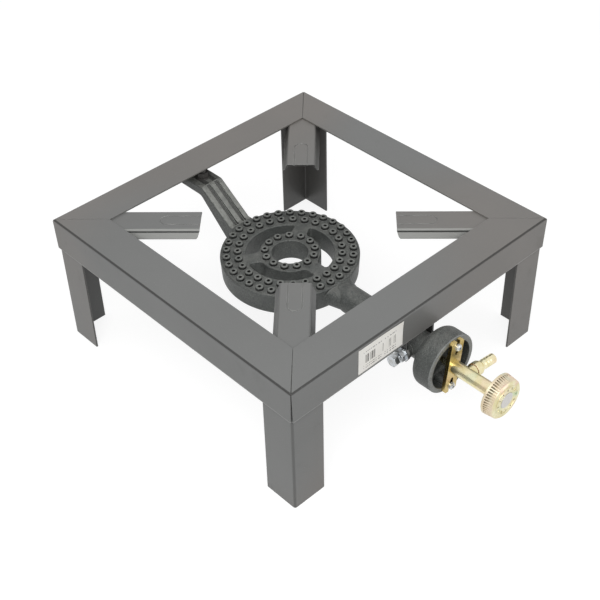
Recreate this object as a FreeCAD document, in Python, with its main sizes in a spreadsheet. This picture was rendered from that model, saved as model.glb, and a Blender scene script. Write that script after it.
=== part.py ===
import FreeCAD, Part
import math
import os
import re

import Sketcher
from FreeCAD import Placement, Rotation, Vector

# A single-ring gas stock pot range: a low pressed-steel stand, a cast-iron ring burner hung
# below its top and a brass needle valve in front.  Millimetres, +Z up, valve towards -Y.
# The origin lies on the floor, under the middle of the whole object's outer box.

SIZES = {
    # Stand: four mitred angle rails on four angle legs
    "side": 400,
    "height": 172,
    "sheet": 2,
    "bend": 3,
    "flange": 47,
    "skirt": 40,
    "mitre_gap": 0.3,
    "mitre_open": 0.25,
    "skirt_relief": 0.7,
    "skirt_open": 1.5,
    "leg_width": 43,
    "leg_relief": 1,
    # Pot fingers: pressed channels on the diagonals, tucked under the flange
    "finger_width": 36,
    "finger_depth": 10.5,
    "finger_flare": 4,
    "finger_start": 45,
    "finger_reach": 171,
    "finger_slant": 2,
    "bead_width": 17.5,
    "bead_reach": 47,
    "bead_line": 1.6,
    "bead_depth": 0.6,
    "weld_run": 15,
    "mitre_weld_start": 9,
    "mitre_weld_radius": 1.6,
    # Burner ring
    "ring_offset": 16,
    "axis_drop": 70.5,
    "ring_radius": 83,
    "ring_height": 27,
    "ring_draft": 1.5,
    "ring_round": 2.5,
    "ring_bore": 21.5,
    "hub_radius": 37,
    "slot_radius": 52.5,
    "spoke_width": 19,
    "slot_corner": 3,
    "hub_corner": 7,
    "edge_round": 1.2,
    "cast_wall": 4,
    "spoke_duct": 9,
    # Nipples: raised flame ports in three rows
    "nipple_diameter": 10.2,
    "nipple_height": 3.8,
    "nipple_chamfer": 0.7,
    "port_diameter": 4.2,
    "outer_row": 75.3,
    "middle_row": 61.8,
    "inner_row": 29.8,
    "outer_count": 33,
    "middle_count": 27,
    "inner_count": 13,
    "outer_phase": 3.1,
    "middle_phase": 3.4,
    "inner_phase": 20.7,
    # Neck and air bell
    "neck_radius": 16.5,
    "neck_bore": 10.5,
    "neck_cone": 17,
    "flare_width": 46,
    "flare_length": 20,
    "flare_height": 24,
    "flare_round": 11,
    "bell_gap": 7,
    "bell_length": 27.5,
    "bell_radius": 36,
    "bell_round": 9,
    "bell_lip": 1.5,
    "mouth_radius": 30,
    "bell_floor": 5,
    "throat_radius": 16,
    "throat_length": 18,
    "lug_radius": 5.2,
    "lug_depth": 14,
    # Rear arm
    "arm_width": 32,
    "arm_depth": 14,
    "arm_drop": 26,
    "arm_knee": 45,
    "arm_gap": 1,
    "arm_round": 2.5,
    "arm_bend": 8,
    "groove_width": 6,
    "groove_depth": 4,
    "groove_fade": 1.5,
    "groove_pitch": 12,
    # Fastenings of the burner
    "stud_inset": 28,
    "stud_length": 50,
    "bolt_diameter": 8,
    "bolt_clearance": 0.5,
    "thread_clearance": 0.05,
    "nut_flats": 13,
    "nut_height": 6.5,
    "head_height": 6,
    "washer_diameter": 17,
    "washer_thickness": 1.6,
    "neck_bolt_inset": 13,
    "neck_bolt_length": 23.5,
    "neck_bolt_tip": 12.5,
    "boss_diameter": 16,
    "hanger_thickness": 2.5,
    "hanger_width": 10,
    "hanger_clearance": 5,
    "hanger_margin": 0.5,
    "hanger_drop": 9,
    # Valve bracket
    "bracket_width": 19,
    "bracket_length": 68,
    "bracket_thickness": 4.5,
    "bracket_slot": 5,
    "bracket_slot_depth": 18.5,
    "screw_offset": 26,
    "valve_roll": 7,
    "screw_diameter": 4,
    "screw_length": 15,
    "screw_head": 7.6,
    "screw_head_height": 2.7,
    "recess_width": 1,
    "recess_depth": 1.2,
    "screw_washer": 8.8,
    "screw_washer_thickness": 0.9,
    # Valve body along its axis, measured from the front of the bell
    "body_radius": 7.8,
    "body_length": 52,
    "spigot_radius": 4.5,
    "spigot_length": 3,
    "chamber_radius": 4,
    "chamber_length": 22.5,
    "thread_radius": 3.7,
    "seal_radius": 4.2,
    "seal_length": 12,
    "port_centre": 22,
    "side_boss_radius": 7.5,
    "side_boss_reach": 10,
    # Injector
    "injector_thread": 3,
    "injector_engage": 5,
    "injector_flats": 9,
    "injector_hex": 5,
    "injector_nose": 6,
    "injector_bore": 1.6,
    "orifice": 0.5,
    # Hose nozzle
    "nozzle_washer_thickness": 0.8,
    "nozzle_collar": 8.1,
    "nozzle_collar_length": 8,
    "nozzle_cone": 4,
    "nozzle_radius": 5.8,
    "nozzle_length": 33.5,
    "nozzle_bore": 2.3,
    "nozzle_spigot": 2.4,
    "rib_pitch": 4.4,
    "rib_depth": 0.75,
    "rib_count": 3,
    # Spindle, needle and gland
    "spindle_radius": 2.6,
    "spindle_thread": 3.5,
    "spindle_thread_length": 12,
    "spindle_thread_start": 30.5,
    "spindle_rear": 20.5,
    "socket_radius": 2.15,
    "socket_lip": 1,
    "socket_depth": 8,
    "needle_radius": 1.4,
    "needle_head": 2,
    "needle_play": 0.2,
    "needle_seat": 3.4,
    "needle_cone": 2.2,
    "needle_point": 0.4,
    "seal_place": 47.5,
    "seal_cord": 0.7,
    "running_clearance": 0.15,
    "gland_radius": 6.2,
    "gland_height": 3.5,
    "gland_engage": 3,
    # Knob
    "knob_gap": 1,
    "knob_radius": 24.5,
    "knob_depth": 14.5,
    "knob_taper": 1.5,
    "knob_chamfer": 1.6,
    "knob_web": 2,
    "knob_back_depth": 7,
    "knob_shell": 3,
    "knob_hub": 6.5,
    "flute_count": 50,
    "flute_radius": 0.85,
    "flute_end": 2.4,
    "face_ring_radius": 17.5,
    "face_ring_width": 1,
    "face_relief": 0.5,
    "tick_count": 12,
    "tick_length": 2.6,
    "tick_width": 0.9,
    "cap_radius": 9.3,
    "cap_recess": 3,
    "cap_thickness": 1.2,
    "cap_proud": 0.3,
    "knob_screw_radius": 1.5,
    "knob_screw_length": 8,
    "knob_screw_head": 2.8,
    "knob_screw_head_height": 1.5,
    # Label on the front skirt
    "label_width": 66,
    "label_height": 33,
    "label_thickness": 0.2,
    "label_right": 41,
    "label_top": 4,
}

# Places that follow from the sizes
PLACES = {
    "flange_under": "height - sheet",
    "axis_height": "height - axis_drop",
    "arm_top": "height - arm_drop",
    "inner_bend": "bend - sheet",
    "valve_length": "bracket_thickness + body_length + gland_height + knob_gap + knob_depth",
    "reach": "side / 2 + bell_gap + bell_length + valve_length + max(cap_proud; face_relief)",
    "stand_y": "(reach - side / 2) / 2",
    "ring_y": "stand_y + ring_offset",
    "ring_top": "ring_height / 2",
    "bell_back": "side / 2 + ring_offset + bell_gap",
    "bell_front": "bell_back + bell_length",
    "mouth_y": "ring_y - bell_front",
    "stud_back": "side / 2 - stud_inset - ring_offset",
    "arm_rise": "axis_drop - arm_drop",
    "arm_end": "side / 2 - sheet - arm_gap - ring_offset",
    "knee": "side / 2 - ring_offset - arm_knee",
    "neck_bolt_y": "stand_y - side / 2 + neck_bolt_inset",
    "hanger_inside": "neck_radius + hanger_clearance",
    "hanger_outside": "hanger_inside + hanger_thickness",
    "hanger_right": "neck_radius + hanger_margin",
    "neck_head_x": "neck_bolt_tip + neck_bolt_length",
    "bore_front": "bracket_thickness + body_length",
    "gland_front": "bore_front + gland_height",
    "knob_back": "gland_front + knob_gap",
    "knob_front": "knob_back + knob_depth",
    "web_front": "knob_front - cap_recess",
    "web_back": "web_front - knob_web",
    "nozzle_seat": "side_boss_reach + nozzle_washer_thickness",
    "nozzle_land": "nozzle_seat + nozzle_collar_length + nozzle_cone",
    "corner": "side / 2 - sheet",
}

FORWARD = Rotation(Vector(1, 0, 0), 90)
SIDEWAYS = Rotation(Vector(0, 1, 0), 90)
OUT_LEFT = Rotation(Vector(0, 1, 0), -90)
ROLLED = FORWARD * Rotation(Vector(0, 0, 1), -SIZES["valve_roll"])
PORT_SIDE = Rotation(Vector(0, 1, 0), 90 + SIZES["valve_roll"])
UPRIGHT = Rotation()
CORNERS = ("front_left", "front_right", "rear_right", "rear_left")
FLOOR = ("0", "stand_y", "0")
RING = ("0", "ring_y", "axis_height")
MOUTH = ("0", "mouth_y", "axis_height")

doc = FreeCAD.newDocument("stock_pot_range")
sheet = doc.addObject("Spreadsheet::Sheet", "sizes")
pieces = []


def fill_sheet():
    for row, (name, number) in enumerate(SIZES.items(), start=1):
        sheet.set(f"A{row}", name)
        sheet.set(f"B{row}", str(number))
        sheet.setAlias(f"B{row}", name)
    doc.recompute()


def bound(text):
    """The expression for a text that names sizes and places."""
    def spelled(word):
        name = word[0]
        if name in SIZES:
            return f"sizes.{name}"
        return f"({bound(PLACES[name])})" if name in PLACES else name
    return re.sub(r"[a-z_]+", spelled, text)


def value(text):
    return float(sheet.evalExpression(bound(text)))


def place(item, spot, turn=UPRIGHT):
    item.Placement = Placement(Vector(*[value(text) for text in spot]), turn)
    for axis, text in zip("xyz", spot):
        item.setExpression(f".Placement.Base.{axis}", bound(text))
    return item


def keep(item, name):
    item.Label = name
    pieces.append(item)
    return item


# Sketches and features of a body

def new_body(name, spot, turn=UPRIGHT):
    return place(doc.addObject("PartDesign::Body", name), spot, turn)


def origin_part(body, role):
    return next(item for item in body.Origin.OriginFeatures if item.Role == role)


def new_sketch(body, role, shift=("0", "0", "0")):
    sketch = body.newObject("Sketcher::SketchObject", f"{body.Name}_sketch")
    sketch.AttachmentSupport = [(origin_part(body, role), "")]
    sketch.MapMode = "FlatFace"
    for axis, text in zip("xyz", shift):
        sketch.setExpression(f".AttachmentOffset.Base.{axis}", bound(text))
    return sketch


def dimension(sketch, kind, edge, end, text):
    index = sketch.addConstraint(Sketcher.Constraint(kind, edge, end, value(text)))
    sketch.setExpression(f"Constraints[{index}]", bound(text))


def arc_edge(start, end, centre, turn):
    first, last = (start, end) if turn > 0 else (end, start)
    angles = [math.atan2(point.y - centre.y, point.x - centre.x) for point in (first, last)]
    if angles[1] <= angles[0]:
        angles[1] += 2 * math.pi
    circle = Part.Circle(centre, Vector(0, 0, 1), (start - centre).Length)
    return Part.ArcOfCircle(circle, *angles)


def outline(sketch, corners):
    """A closed outline.  A corner is (right, up), or (right, up, centre right, centre up, turn)
    where an arc arrives at it, anticlockwise for a turn of 1."""
    points = [Vector(value(corner[0]), value(corner[1]), 0) for corner in corners]
    first = sketch.GeometryCount
    tails = []
    for index, corner in enumerate(corners):
        start, end = points[index - 1], points[index]
        if len(corner) == 2:
            sketch.addGeometry(Part.LineSegment(start, end))
            tails.append((1, 2))
            continue
        centre = Vector(value(corner[2]), value(corner[3]), 0)
        sketch.addGeometry(arc_edge(start, end, centre, corner[4]))
        tails.append((1, 2) if corner[4] > 0 else (2, 1))
    for index, corner in enumerate(corners):
        edge = first + index
        following = (index + 1) % len(corners)
        join = (edge, tails[index][1], first + following, tails[following][0])
        sketch.addConstraint(Sketcher.Constraint("Coincident", *join))
        dimension(sketch, "DistanceX", edge, tails[index][1], corner[0])
        dimension(sketch, "DistanceY", edge, tails[index][1], corner[1])
        if len(corner) > 2:
            chord = points[index] - points[index - 1]
            upright = abs(chord.x) > abs(chord.y)
            kind, text = ("DistanceY", corner[3]) if upright else ("DistanceX", corner[2])
            dimension(sketch, kind, edge, 3, text)
    return sketch


def ring_line(sketch, radius, right="0", up="0"):
    centre = Vector(value(right), value(up), 0)
    edge = sketch.addGeometry(Part.Circle(centre, Vector(0, 0, 1), value(radius)))
    dimension(sketch, "DistanceX", edge, 3, right)
    dimension(sketch, "DistanceY", edge, 3, up)
    index = sketch.addConstraint(Sketcher.Constraint("Radius", edge, value(radius)))
    sketch.setExpression(f"Constraints[{index}]", bound(radius))
    return sketch


def feature(body, kind, **settings):
    item = body.newObject(f"PartDesign::{kind}", f"{body.Name}_{kind.lower()}")
    for name, setting in settings.items():
        setattr(item, name, setting)
    body.Tip = item
    return item


def pad(body, sketch, length, side="One side"):
    item = feature(body, "Pad", Profile=sketch, SideType=side)
    item.setExpression("Length", bound(length))
    return item


def pocket(body, sketch, length=None, side="One side"):
    item = feature(body, "Pocket", Profile=sketch, SideType=side)
    if length is None:
        item.Type = "ThroughAll"
    else:
        item.setExpression("Length", bound(length))
    return item


def revolve(body, sketch, axis="V_Axis"):
    return feature(body, "Revolution", Profile=sketch, ReferenceAxis=(sketch, [axis]), Angle=360)


def ring_of(body, originals, count):
    """Copies of the features round the body's own Z axis."""
    item = feature(body, "PolarPattern", Originals=originals, Angle=360)
    item.Axis = (origin_part(body, "Z_Axis"), [""])
    item.setExpression("Occurrences", bound(count))
    return item


def dress(body, kind, size_name, size, test):
    """A fillet or chamfer on every edge of the body that passes the test."""
    doc.recompute()
    base = body.Tip
    names = [f"Edge{index}" for index, edge in enumerate(base.Shape.Edges, 1) if test(edge)]
    item = feature(body, kind, Base=(base, names))
    item.setExpression(size_name, bound(size))
    return item


def fillet(body, radius, test):
    return dress(body, "Fillet", "Radius", radius, test)


def chamfer(body, size, test):
    return dress(body, "Chamfer", "Size", size, test)


def near(one, other):
    return abs(one - other) < 0.01


def along(edge, direction):
    if not isinstance(edge.Curve, Part.Line):
        return False
    return near(abs(edge.Curve.Direction.dot(direction)), 1)


def radial(point):
    return math.hypot(point.x, point.y)


def rim_at(edge, radius, level):
    """Whether the edge is a circle about the Z axis with this radius at this level."""
    if not isinstance(edge.Curve, Part.Circle):
        return False
    centre = edge.Curve.Center
    return near(edge.Curve.Radius, radius) and near(radial(centre), 0) and near(centre.z, level)


def turned(name, spot, turn, corners):
    """A body turned about its own Z axis from (radius, level) corners."""
    body = new_body(name, spot, turn)
    revolve(body, outline(new_sketch(body, "XZ_Plane"), corners))
    return body


# Primitives and booleans

def cylinder(name, radius, length, spot, turn=UPRIGHT):
    item = doc.addObject("Part::Cylinder", name)
    item.setExpression("Radius", bound(radius))
    item.setExpression("Height", bound(length))
    return place(item, spot, turn)


def hexagon(name, flats, length, spot, turn=UPRIGHT):
    item = doc.addObject("Part::Prism", name)
    item.Polygon = 6
    item.setExpression("Circumradius", bound(f"{flats} / 2 / cos(30)"))
    item.setExpression("Height", bound(length))
    return place(item, spot, turn)


def cut(name, base, tool):
    item = doc.addObject("Part::Cut", name)
    item.Base = base
    item.Tool = tool
    return item


def fuse(name, items):
    item = doc.addObject("Part::MultiFuse", name)
    item.Shapes = items
    return item


def group(name, items):
    item = doc.addObject("Part::Compound", name)
    item.Links = items
    return item


def drilled(name, base, radius, length, spot, turn=UPRIGHT):
    return cut(name, base, cylinder(f"{name}_hole", radius, length, spot, turn))


def washer(name, diameter, bore, thickness, spot, turn=UPRIGHT):
    disc = cylinder(f"{name}_disc", f"{diameter} / 2", thickness, spot, turn)
    return drilled(name, disc, f"{bore} / 2", thickness, spot, turn)


def nut(name, spot, turn=UPRIGHT):
    """A hexagon nut with its corners turned off, its bore clear of the thread."""
    block = hexagon(f"{name}_block", "nut_flats", "nut_height", spot, turn)
    rounded = turned(f"{name}_cone", spot, turn, [
        ("0", "0"),
        ("nut_flats / 2", "0"),
        ("nut_flats / 2 / cos(30)", "nut_height / 8"),
        ("nut_flats / 2 / cos(30)", "nut_height * 7 / 8"),
        ("nut_flats / 2", "nut_height"),
        ("0", "nut_height")])
    solid = doc.addObject("Part::MultiCommon", f"{name}_solid")
    solid.Shapes = [block, rounded]
    return drilled(name, solid, "bolt_diameter / 2 + thread_clearance", "nut_height", spot, turn)


# Stand

def rail(name, quarter):
    """One side of the top: an angle with mitred ends.  It is drawn as the front side."""
    body = new_body(name, FLOOR, Rotation(Vector(0, 0, 1), 90 * quarter))
    pad(body, outline(new_sketch(body, "YZ_Plane"), [
        ("-side / 2", "height - skirt"),
        ("-side / 2 + sheet", "height - skirt"),
        ("-side / 2 + sheet", "flange_under"),
        ("-side / 2 + flange", "flange_under"),
        ("-side / 2 + flange", "height"),
        ("-side / 2", "height")]), "side", "Symmetric")
    front, top, thickness = -value("side / 2"), value("height"), value("sheet")
    fillet(body, "bend", lambda edge: along(edge, Vector(1, 0, 0))
           and near(edge.CenterOfMass.y, front) and near(edge.CenterOfMass.z, top))
    fillet(body, "inner_bend", lambda edge: along(edge, Vector(1, 0, 0))
           and near(edge.CenterOfMass.y, front + thickness)
           and near(edge.CenterOfMass.z, top - thickness))
    mitres = new_sketch(body, "XY_Plane")
    reliefs = new_sketch(body, "XZ_Plane")
    for sign in ("", "-"):
        outline(mitres, [
            (f"{sign}(side / 2 - mitre_gap - mitre_open + sheet)", "-side / 2 - sheet"),
            (f"{sign}(side / 2 - mitre_gap + sheet)", "-side / 2 - sheet"),
            (f"{sign}(side / 2 - mitre_gap + sheet)", "-side / 2 + flange + sheet"),
            (f"{sign}(side / 2 - mitre_gap - flange - sheet)", "-side / 2 + flange + sheet")])
        outline(reliefs, [
            (f"{sign}(side / 2 - skirt_relief - skirt_open)", "height - skirt"),
            (f"{sign}(side / 2 - skirt_relief - skirt_open)", "height - skirt - sheet"),
            (f"{sign}(side / 2 + sheet)", "height - skirt - sheet"),
            (f"{sign}(side / 2 + sheet)", "height - bend"),
            (f"{sign}(side / 2 - skirt_relief)", "height - bend")])
    pocket(body, mitres, None, "Symmetric")
    pocket(body, reliefs, None, "Symmetric")
    keep(body, name)


def leg(name, quarter):
    """An angle inside the skirts of one corner.  It is drawn as the front left leg."""
    body = new_body(name, FLOOR, Rotation(Vector(0, 0, 1), 90 * quarter))
    pad(body, outline(new_sketch(body, "XY_Plane"), [
        ("-corner", "-corner"),
        ("-corner + leg_width", "-corner"),
        ("-corner + leg_width", "-corner + sheet"),
        ("-corner + sheet", "-corner + sheet"),
        ("-corner + sheet", "-corner + leg_width"),
        ("-corner", "-corner + leg_width")]), "flange_under - leg_relief")
    outside, inside = -value("corner"), -value("corner - sheet")
    for radius, spot in (("bend", outside), ("inner_bend", inside)):
        fillet(body, radius, lambda edge: along(edge, Vector(0, 0, 1))
               and near(edge.CenterOfMass.x, spot) and near(edge.CenterOfMass.y, spot))
    keep(body, name)


def around(quarter, right, ahead):
    """A place in the front left corner, turned to another corner of the stand."""
    spots = [(right, ahead), (f"-({ahead})", right),
             (f"-({right})", f"-({ahead})"), (ahead, f"-({right})")]
    return spots[quarter][0], f"stand_y + ({spots[quarter][1]})"


def finger(name, quarter):
    """A pot finger: an inverted channel with flared sides, from a corner towards the middle."""
    spot = (*around(quarter, "-side / 2", "-side / 2"), "flange_under")
    body = new_body(name, spot, Rotation(Vector(0, 0, 1), 45 + 90 * quarter))
    section = new_sketch(body, "YZ_Plane", ("0", "0", "finger_start"))
    foot, flare = "finger_width / 2 + finger_flare", "-bend - edge_round"
    pad(body, outline(section, [
        (f"-({foot})", "-finger_depth"),
        (f"-({foot} - sheet)", "-finger_depth"),
        ("-finger_width / 2 + sheet", flare),
        ("-finger_width / 2 + sheet", "-sheet"),
        ("finger_width / 2 - sheet", "-sheet"),
        ("finger_width / 2 - sheet", flare),
        (f"{foot} - sheet", "-finger_depth"),
        (foot, "-finger_depth"),
        ("finger_width / 2", flare),
        ("finger_width / 2", "0"),
        ("-finger_width / 2", "0"),
        ("-finger_width / 2", flare)]), "finger_reach - finger_start")
    half, thickness = value("finger_width / 2"), value("sheet")
    for radius, side, level in (("bend", half, 0), ("inner_bend", half - thickness, -thickness)):
        fillet(body, radius, lambda edge: along(edge, Vector(1, 0, 0))
               and near(abs(edge.CenterOfMass.y), side) and near(edge.CenterOfMass.z, level))
    pocket(body, outline(new_sketch(body, "XZ_Plane"), [
        ("finger_reach - finger_slant * 2", "-finger_depth"),
        ("finger_reach - finger_slant", "-finger_depth + finger_slant"),
        ("finger_reach", "-bend"),
        ("finger_reach + sheet", "-finger_depth - sheet"),
        ("finger_reach - finger_slant * 2", "-finger_depth - sheet")]), None, "Symmetric")
    finger_bead(body)
    keep(body, name)


def finger_bead(body):
    """The line pressed into the top: a long U, open at the tip."""
    end = "finger_reach - bead_reach + bead_width / 2"
    inner = "bead_width / 2 - bead_line"
    pocket(body, outline(new_sketch(body, "XY_Plane"), [
        ("finger_reach + sheet", "-bead_width / 2"),
        ("finger_reach + sheet", f"-({inner})"),
        (end, f"-({inner})"),
        (end, inner, end, "0", -1),
        ("finger_reach + sheet", inner),
        ("finger_reach + sheet", "bead_width / 2"),
        (end, "bead_width / 2"),
        (end, "-bead_width / 2", end, "0", 1)]), "bead_depth")


def weld(name, radius, length, spot, turn, sweep=90):
    """A weld bead: a quarter round that fills a square corner, or a half round under a seam."""
    bead = cylinder(name, radius, length, spot, turn)
    bead.Angle = sweep
    return bead


def leg_welds():
    beads = []
    edge = "-side / 2 + sheet + leg_width"
    for quarter in range(4):
        turn = Rotation(Vector(0, 0, 1), 90 * quarter)
        for right, ahead in ((edge, "-corner"), ("-corner", edge)):
            spot = (*around(quarter, right, ahead), "height - skirt + skirt / 4")
            beads.append(weld(f"leg_weld_{len(beads)}", "sheet", "weld_run", spot, turn))
    keep(group("leg_welds", beads), "leg_welds")


def finger_welds():
    beads = []
    for quarter in range(4):
        ahead = Rotation(Vector(0, 0, 1), 45 + 90 * quarter)
        for sign, roll in (("+", 0), ("-", -90)):
            turn = ahead * SIDEWAYS * Rotation(Vector(0, 0, 1), roll)
            distance = "(finger_start + bend)"
            aside = f"({sign}finger_width / 2)"
            spot = (*around(quarter, f"-side / 2 + ({distance} - {aside}) * cos(45)",
                            f"-side / 2 + ({distance} + {aside}) * cos(45)"), "flange_under")
            beads.append(weld(f"finger_weld_{len(beads)}", "bend", "weld_run", spot, turn))
    keep(group("finger_welds", beads), "finger_welds")


def mitre_welds():
    """A bead under each mitre of the top, between the leg and the pot finger."""
    beads = []
    start = "-side / 2 + mitre_weld_start * cos(45)"
    for quarter in range(4):
        turn = Rotation(Vector(0, 0, 1), 45 + 90 * quarter) * SIDEWAYS * Rotation(Vector(0, 0, 1), -90)
        spot = (*around(quarter, start, start), "flange_under")
        beads.append(weld(f"mitre_weld_{quarter}", "mitre_weld_radius",
                          "finger_start - mitre_weld_start - leg_relief", spot, turn, 180))
    keep(group("mitre_welds", beads), "mitre_welds")


# Burner casting

def ring_body():
    """The ring with its hub, spokes and nipples, about its own centre."""
    body = new_body("ring", RING)
    revolve(body, outline(new_sketch(body, "XZ_Plane"), [
        ("ring_bore", "-ring_top"),
        ("ring_radius - ring_draft", "-ring_top"),
        ("ring_radius", "ring_top"),
        ("ring_bore", "ring_top")]))
    radius, bore, top = value("ring_radius"), value("ring_bore"), value("ring_top")
    fillet(body, "ring_round", lambda edge: rim_at(edge, radius, top)
           or rim_at(edge, radius - value("ring_draft"), -top))
    fillet(body, "edge_round", lambda edge: rim_at(edge, bore, top) or rim_at(edge, bore, -top))
    slot = pocket(body, outline(new_sketch(body, "XY_Plane"), slot_corners()), None, "Symmetric")
    ring_of(body, [slot], "3")
    for size, place_radius in (("hub_corner", "hub_radius"), ("slot_corner", "slot_radius")):
        fillet(body, size, lambda edge: along(edge, Vector(0, 0, 1))
               and near(radial(edge.CenterOfMass), value(place_radius)))
    low, high = value("hub_radius") - 1, value("slot_radius") + 1
    fillet(body, "edge_round", lambda edge: near(abs(edge.CenterOfMass.z), top)
           and low < radial(edge.Vertexes[0].Point) < high)
    for row in ("outer", "middle", "inner"):
        nipple_row(body, f"{row}_row", f"{row}_count", f"{row}_phase")
    return body


def slot_corners():
    """The slot between the spokes at 30 and 150 degrees."""
    corners = {}
    for name, radius in (("hub", "hub_radius"), ("rim", "slot_radius")):
        reach = f"sqrt({radius}^2 - spoke_width^2 / 4)"
        corners[name] = (f"cos(30) * {reach} - sin(30) * spoke_width / 2",
                         f"sin(30) * {reach} + cos(30) * spoke_width / 2")
    hub, rim = corners["hub"], corners["rim"]
    return [(*hub, "0", "0", -1), rim, (f"-({rim[0]})", rim[1], "0", "0", 1), (f"-({hub[0]})", hub[1])]


def nipple_row(body, row, count, phase):
    right, ahead = f"{row} * cos({phase})", f"{row} * sin({phase})"
    section = new_sketch(body, "XZ_Plane", (right, "0", f"-({ahead})"))
    nipple = revolve(body, outline(section, [
        ("0", "ring_top - nipple_chamfer"),
        ("nipple_diameter / 2", "ring_top - nipple_chamfer"),
        ("nipple_diameter / 2 - nipple_chamfer / 2", "ring_top + nipple_height - nipple_chamfer"),
        ("nipple_diameter / 2 - nipple_chamfer * 3 / 2", "ring_top + nipple_height"),
        ("0", "ring_top + nipple_height")]))
    mouth = new_sketch(body, "XY_Plane", ("0", "0", "ring_top + nipple_height"))
    port = pocket(body, ring_line(mouth, "port_diameter / 2", right, ahead), "nipple_height + cast_wall * 5 / 4")
    ring_of(body, [nipple, port], count)


def neck_body():
    """The neck and the outside of the air bell, turned about the neck's axis."""
    body = new_body("neck", RING)
    revolve(body, outline(new_sketch(body, "YZ_Plane"), [
        ("-(ring_radius - cast_wall)", "0"),
        ("-(ring_radius - cast_wall)", "ring_top - edge_round"),
        ("-(ring_radius + neck_cone)", "neck_radius"),
        ("-bell_back", "neck_radius"),
        ("-bell_back", "bell_radius - bell_round"),
        ("-(bell_back + bell_round)", "bell_radius",
         "-(bell_back + bell_round)", "bell_radius - bell_round", 1),
        ("-bell_front", "bell_radius"),
        ("-bell_front", "0")]), "H_Axis")
    front, back = -value("bell_front"), -value("bell_back")
    fillet(body, "bell_lip", lambda edge: isinstance(edge.Curve, Part.Circle)
           and near(edge.Curve.Radius, value("bell_radius")) and near(edge.Curve.Center.y, front))
    fillet(body, "ring_round", lambda edge: isinstance(edge.Curve, Part.Circle)
           and near(edge.Curve.Radius, value("neck_radius")) and near(edge.Curve.Center.y, back))
    return body


def flare_body():
    """The web that widens the neck where it runs into the ring."""
    body = new_body("flare", RING)
    pad(body, outline(new_sketch(body, "XY_Plane"), [
        ("-neck_radius + edge_round", "-(ring_radius + flare_length)"),
        ("neck_radius - edge_round", "-(ring_radius + flare_length)"),
        ("flare_width / 2", "-(ring_radius - cast_wall * 2)"),
        ("-flare_width / 2", "-(ring_radius - cast_wall * 2)")]), "flare_height", "Symmetric")
    half = value("flare_height / 2")
    fillet(body, "flare_round", lambda edge: near(abs(edge.CenterOfMass.z), half)
           and isinstance(edge.Curve, Part.Line) and abs(edge.Curve.Direction.y) > 0.5)
    return body


def arm_body():
    """The rear arm: a ribbed bar that climbs from the ring to a flat pad."""
    body = new_body("arm", RING)
    pad(body, outline(new_sketch(body, "YZ_Plane"), [
        ("ring_radius - cast_wall", "ring_top - ring_round"),
        ("ring_radius + cast_wall * 2", "ring_top - ring_round"),
        ("knee", "arm_rise"),
        ("arm_end", "arm_rise"),
        ("arm_end", "arm_rise - arm_depth"),
        ("knee + cast_wall", "arm_rise - arm_depth"),
        ("ring_radius + arm_depth", "-ring_top"),
        ("ring_radius - cast_wall", "-ring_top")]), "arm_width", "Symmetric")
    bends = [(value("knee"), value("arm_rise")), (value("knee + cast_wall"), value("arm_rise - arm_depth"))]
    fillet(body, "arm_bend", lambda edge: along(edge, Vector(1, 0, 0)) and any(
        near(edge.CenterOfMass.y, spot) and near(edge.CenterOfMass.z, level) for spot, level in bends))
    half, start = value("arm_width / 2"), value("ring_radius - cast_wall")
    fillet(body, "arm_round", lambda edge: near(abs(edge.CenterOfMass.x), half)
           and not near(edge.CenterOfMass.y, start))
    rise = "ring_top - ring_round - groove_depth"
    for sign in ("", "-"):
        side = new_sketch(body, "YZ_Plane", ("0", "0", f"{sign}groove_pitch / 2"))
        pocket(body, outline(side, [
            ("ring_radius + cast_wall", rise),
            ("ring_radius + cast_wall * 2", rise),
            ("knee", "arm_rise - groove_fade"),
            ("knee + groove_fade", "arm_rise + edge_round"),
            ("ring_radius + cast_wall", "arm_rise + edge_round")]), "groove_width", "Symmetric")
    return body


def bell_cavity():
    """The air space of the bell and its throat, down to the gas duct."""
    body = new_body("bell_cavity", RING)
    floor = "(bell_back + bell_floor)"
    revolve(body, outline(new_sketch(body, "YZ_Plane"), [
        ("-(bell_front + bell_floor)", "0"),
        ("-(bell_front + bell_floor)", "mouth_radius"),
        (f"-({floor} + bell_floor)", "mouth_radius"),
        (f"-{floor}", "mouth_radius - bell_floor",
         f"-({floor} + bell_floor)", "mouth_radius - bell_floor", -1),
        (f"-{floor}", "throat_radius"),
        (f"-({floor} - throat_length)", "neck_bore"),
        (f"-({floor} - throat_length)", "0")]), "H_Axis")
    return body


def channel(name, inside, outside):
    """A ring-shaped gas channel inside the casting."""
    spot = ("0", "ring_y", "axis_height - ring_top + cast_wall")
    depth = "ring_height - cast_wall * 2"
    disc = cylinder(f"{name}_disc", outside, depth, spot)
    return cut(name, disc, cylinder(f"{name}_core", inside, depth, spot))


def screw_spot(sign, ahead):
    """A place on the axis of the bracket's upper (+) or lower (-) screw."""
    return (f"{sign}(sin(valve_roll) * screw_offset)", ahead,
            f"axis_height {sign} cos(valve_roll) * screw_offset")


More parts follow.
